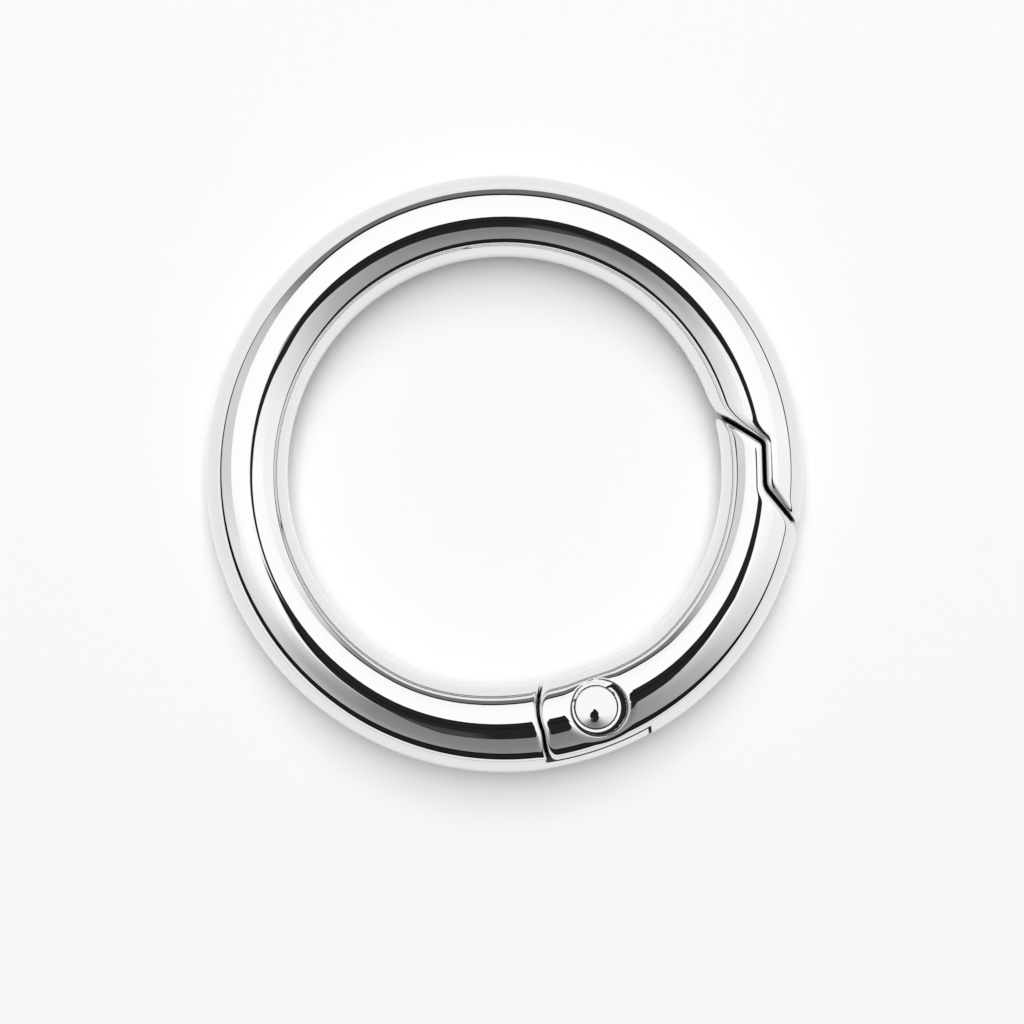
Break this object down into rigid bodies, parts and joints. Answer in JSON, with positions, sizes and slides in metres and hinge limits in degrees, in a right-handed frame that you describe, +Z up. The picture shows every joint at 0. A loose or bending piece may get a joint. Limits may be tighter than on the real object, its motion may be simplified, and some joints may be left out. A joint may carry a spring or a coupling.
{
  "type": "spring gate ring",
  "caption": "Round chromed snap ring with a curved gate that swings inward on a rivet hinge and is sprung shut against a Z-shaped lap joint.",
  "frame": {"origin": "centre of the ring, half way up its bar", "axes": "+Z up out of the ring as it lies flat; +X towards the lap joint at the gate's tip; the hinge is at 68.6 degrees clockwise from +X"},
  "size_m": [0.0344, 0.0344, 0.0046],
  "materials": {
    "chrome_body": "bright chrome plating, mirror polished",
    "chrome_gate": "bright chrome plating, mirror polished",
    "polished_rivet": "polished nickel plating, headed and tumble polished",
    "spring_steel": "drawn stainless spring wire"
  },
  "bodies": {
    "ring": {"ring_body": "chrome_body"},
    "gate_arm": {"gate": "chrome_gate", "hinge_rivet": "polished_rivet", "gate_spring": "spring_steel"}
  },
  "joints": [
    {"name": "gate_hinge", "type": "hinge", "parent": "ring", "child": "gate_arm", "pos_m": [0.00522, -0.01331, 0], "axis": [0, 0, 1], "range_deg": [0, 30], "stiffness_Nm_per_rad": 0.006, "springref_deg": -57.3, "deforming": ["gate_spring"]}
  ]
}
